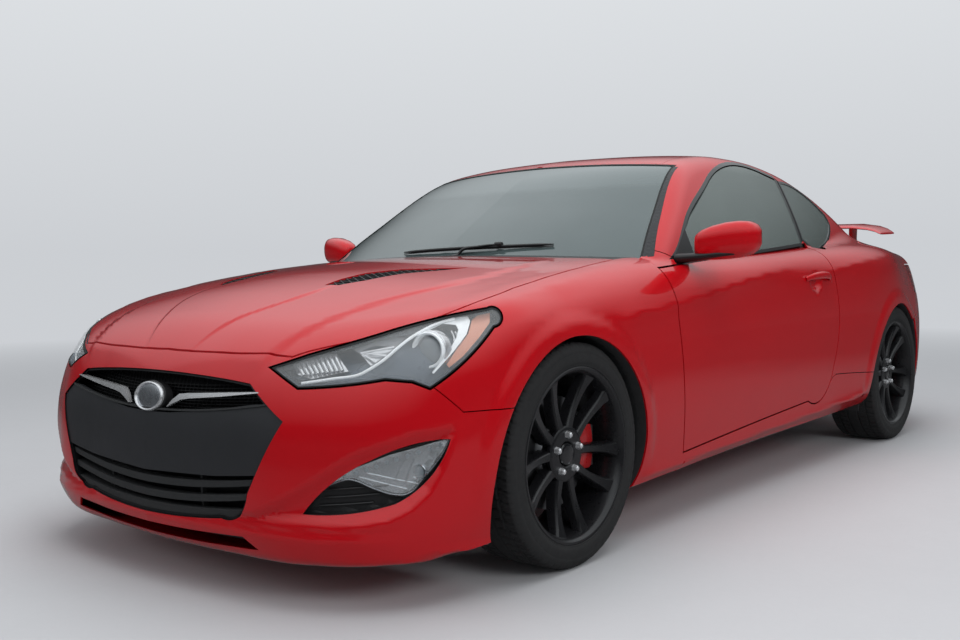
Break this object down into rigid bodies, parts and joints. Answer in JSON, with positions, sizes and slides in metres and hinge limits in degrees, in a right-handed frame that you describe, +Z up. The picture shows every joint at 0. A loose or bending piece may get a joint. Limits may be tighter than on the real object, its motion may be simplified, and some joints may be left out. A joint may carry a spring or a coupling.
{
  "type": "coupe car",
  "caption": "Two-door coupe car with opening doors, hood and boot lid, free-turning wheels, steered front wheels and a furnished cabin.",
  "frame": {"origin": "on the ground under the middle of the car's overall box", "axes": "+Z up, nose towards -Y, the car's left side towards +X"},
  "size_m": [2.158, 4.6124, 1.3602],
  "materials": {
    "body_paint": "glossy red",
    "window_glass": "tinted, polished",
    "lamp_clear": "clear, polished",
    "lamp_red": "glossy red",
    "black_plastic": "grained black",
    "dark_leather": "grained black",
    "seat_trim": "grained dark",
    "floor_metal": "dark undercoat",
    "chassis_steel": "satin black",
    "cast_block": "as cast",
    "exhaust_steel": "brushed",
    "rim_paint": "gloss black paint",
    "tyre": "matte rubber"
  },
  "bodies": {
    "body": {"floor_pan": "floor_metal", "body_side_left": "body_paint", "body_side_right": "body_paint", "roof_panel": "body_paint", "front_fenders": "body_paint", "front_bumper": "body_paint", "grille": "black_plastic", "headlamps": "lamp_clear", "fog_lamps": "lamp_clear", "undertray": "black_plastic", "wheel_liners": "black_plastic", "windscreen": "window_glass", "rear_window": "window_glass", "quarter_windows": "window_glass", "cowl": "black_plastic", "rear_bumper": "body_paint", "tail_lamps": "lamp_red", "front_frame": "chassis_steel", "engine_block": "cast_block", "dashboard": "black_plastic", "front_seats": "seat_trim", "rear_seat": "seat_trim", "exhaust": "exhaust_steel", "front_suspension": "chassis_steel", "rear_suspension": "chassis_steel"},
    "hood": {"hood": "body_paint"},
    "boot_lid": {"trunk_lid": "body_paint", "rear_spoiler": "body_paint"},
    "left_door": {"door_left": "body_paint", "door_glass_left": "window_glass", "mirror_left": "body_paint"},
    "right_door": {"door_right": "body_paint", "door_glass_right": "window_glass", "mirror_right": "body_paint"},
    "steering": {"steering_wheel": "dark_leather"},
    "left_knuckle": {"knuckle_left": "chassis_steel"},
    "right_knuckle": {"knuckle_right": "chassis_steel"},
    "wheel_front_left": {"rim_front_left": "rim_paint", "tyre_front_left": "tyre"},
    "wheel_front_right": {"rim_front_right": "rim_paint", "tyre_front_right": "tyre"},
    "wheel_rear_left": {"rim_rear_left": "rim_paint", "tyre_rear_left": "tyre"},
    "wheel_rear_right": {"rim_rear_right": "rim_paint", "tyre_rear_right": "tyre"}
  },
  "joints": [
    {"name": "hood_hinge", "type": "hinge", "parent": "body", "child": "hood", "pos_m": [0, -1.008, 0.897], "axis": [-1, 0, 0], "range_deg": [0, 50]},
    {"name": "boot_hinge", "type": "hinge", "parent": "body", "child": "boot_lid", "pos_m": [0, 1.488, 1.03], "axis": [1, 0, 0], "range_deg": [0, 72]},
    {"name": "left_door_hinge", "type": "hinge", "parent": "body", "child": "left_door", "pos_m": [0.905, -0.88, 0.55], "axis": [0, 0, -1], "range_deg": [0, 65]},
    {"name": "right_door_hinge", "type": "hinge", "parent": "body", "child": "right_door", "pos_m": [-0.905, -0.88, 0.55], "axis": [0, 0, 1], "range_deg": [0, 65]},
    {"name": "left_steer", "type": "hinge", "parent": "body", "child": "left_knuckle", "pos_m": [0.763, -1.465, 0.331], "axis": [0, 0, 1], "range_deg": [-33, 33]},
    {"name": "right_steer", "type": "hinge", "parent": "body", "child": "right_knuckle", "pos_m": [-0.763, -1.465, 0.331], "axis": [0, 0, 1], "range_deg": [-33, 33]},
    {"name": "steering_turn", "type": "hinge", "parent": "body", "child": "steering", "pos_m": [0.37, -0.45, 0.8], "axis": [0, 0.9063, 0.4226], "range_deg": [-465, 465]},
    {"name": "front_left_spin", "type": "hinge", "parent": "left_knuckle", "child": "wheel_front_left", "pos_m": [0.8, -1.465, 0.331], "axis": [1, 0, 0], "continuous": true},
    {"name": "front_right_spin", "type": "hinge", "parent": "right_knuckle", "child": "wheel_front_right", "pos_m": [-0.8, -1.465, 0.331], "axis": [1, 0, 0], "continuous": true},
    {"name": "rear_left_spin", "type": "hinge", "parent": "body", "child": "wheel_rear_left", "pos_m": [0.795, 1.355, 0.333], "axis": [1, 0, 0], "continuous": true},
    {"name": "rear_right_spin", "type": "hinge", "parent": "body", "child": "wheel_rear_right", "pos_m": [-0.795, 1.355, 0.333], "axis": [1, 0, 0], "continuous": true}
  ],
  "couplings": [
    {"joint": "right_steer", "follows": "left_steer", "ratio": 1},
    {"joint": "steering_turn", "follows": "left_steer", "ratio": 14}
  ]
}
